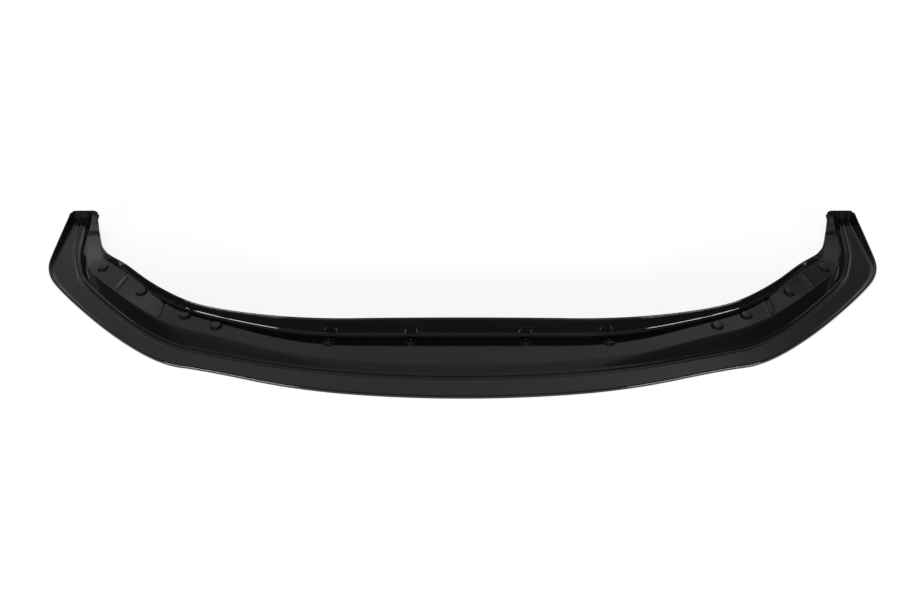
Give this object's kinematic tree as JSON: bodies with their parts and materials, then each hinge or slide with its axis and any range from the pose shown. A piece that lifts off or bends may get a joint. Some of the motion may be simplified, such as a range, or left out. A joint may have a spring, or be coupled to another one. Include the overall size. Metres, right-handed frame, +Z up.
{
  "type": "front splitter lip",
  "caption": "C-shaped moulded car front splitter lip with a flat blade, grooved riser, boss-studded seat flange, rear wall and upturned wing-tip fences.",
  "frame": {"origin": "middle of the box's bottom face: on the mirror line of the lip, half way between nose and wing tips, on the plane that the nose rim rests on", "axes": "+X across the car along the lip's width, +Y from the nose back towards the wing tips, +Z up"},
  "size_m": [1.7298, 0.543, 0.0579],
  "materials": {
    "lip_plastic": "high-gloss black moulded plastic"
  },
  "bodies": {
    "root": {"splitter_lip": "lip_plastic"}
  },
  "joints": []
}
